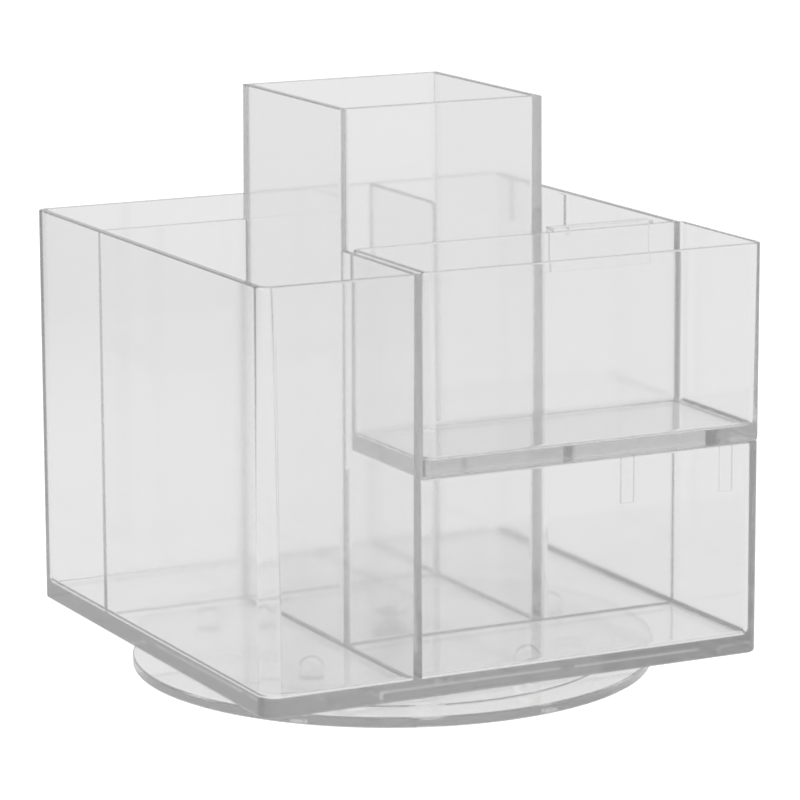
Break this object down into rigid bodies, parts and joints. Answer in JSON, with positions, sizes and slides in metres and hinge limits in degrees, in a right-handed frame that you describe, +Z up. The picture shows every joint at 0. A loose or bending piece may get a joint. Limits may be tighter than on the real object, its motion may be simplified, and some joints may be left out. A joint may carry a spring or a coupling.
{
  "type": "rotating pen holder",
  "caption": "Clear square desk organiser on a round turntable foot, with a tall central pen tower, pinwheel pockets around it and a lift-out tray hooked into one corner.",
  "frame": {"origin": "centre of the turntable, on the surface that the feet stand on", "axes": "+Z up along the turning axis, +X along the front wall towards the tray's corner, +Y from the front wall to the back"},
  "size_m": [0.1423, 0.1423, 0.1535],
  "materials": {
    "clear_body": "clear moulded polystyrene, polished, faint flow and handling marks",
    "clear_tray": "clear moulded polystyrene, polished, light scuffs on the floor",
    "clear_disc": "clear moulded polystyrene, polished, light scuffs on the rim",
    "clear_film": "clear polyester sheet, die-cut, a little hazy",
    "clear_pin": "clear moulded polycarbonate, polished",
    "silicone": "clear silicone, soft and slightly frosted"
  },
  "bodies": {
    "base": {"base_disc": "clear_disc", "pivot_bush": "clear_disc", "anti_slip_feet": "silicone"},
    "rotor": {"compartment_body": "clear_body", "pivot_pin": "clear_pin", "slip_washer": "clear_film", "retaining_washer": "clear_film"},
    "tray": {"lift_out_tray": "clear_tray"}
  },
  "joints": [
    {"name": "turntable_spin", "type": "hinge", "parent": "base", "child": "rotor", "pos_m": [0, 0, 0.0059], "axis": [0, 0, 1], "continuous": true},
    {"name": "tray_lift", "type": "slide", "parent": "rotor", "child": "tray", "axis": [0, 0, 1], "range_m": [0, 0.09]}
  ]
}
